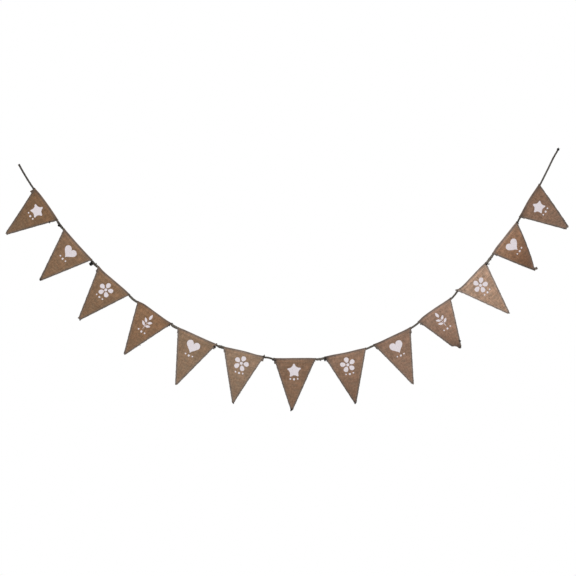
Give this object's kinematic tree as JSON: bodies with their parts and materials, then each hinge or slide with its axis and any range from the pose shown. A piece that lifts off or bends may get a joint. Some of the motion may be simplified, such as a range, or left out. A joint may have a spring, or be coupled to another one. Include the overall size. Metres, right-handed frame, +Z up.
{
  "type": "fabric bunting",
  "caption": "Hanging garland of burlap pennants, each with a casing sewn along its top edge, on one twisted cord with free tails.",
  "frame": {"origin": "left end of the cord, where the garland is hung", "axes": "+Z up, +X along the garland from its left end to its right end, -Y the way the printed faces look"},
  "size_m": [1.9792, 0.1312, 0.9169],
  "materials": {
    "burlap": "matt brown jute burlap, plain weave",
    "twine": "matt dark grey-brown twisted jute twine",
    "overlock": "dark brown sewing thread along the cut edges",
    "print": "matt white textile print"
  },
  "bodies": {
    "root": {"pennant_01": "burlap", "pennant_02": "burlap", "pennant_03": "burlap", "pennant_04": "burlap", "pennant_05": "burlap", "pennant_06": "burlap", "pennant_07": "burlap", "pennant_08": "burlap", "pennant_09": "burlap", "pennant_10": "burlap", "pennant_11": "burlap", "pennant_12": "burlap", "pennant_13": "burlap", "cord": "twine", "knot_right": "twine"}
  },
  "joints": []
}
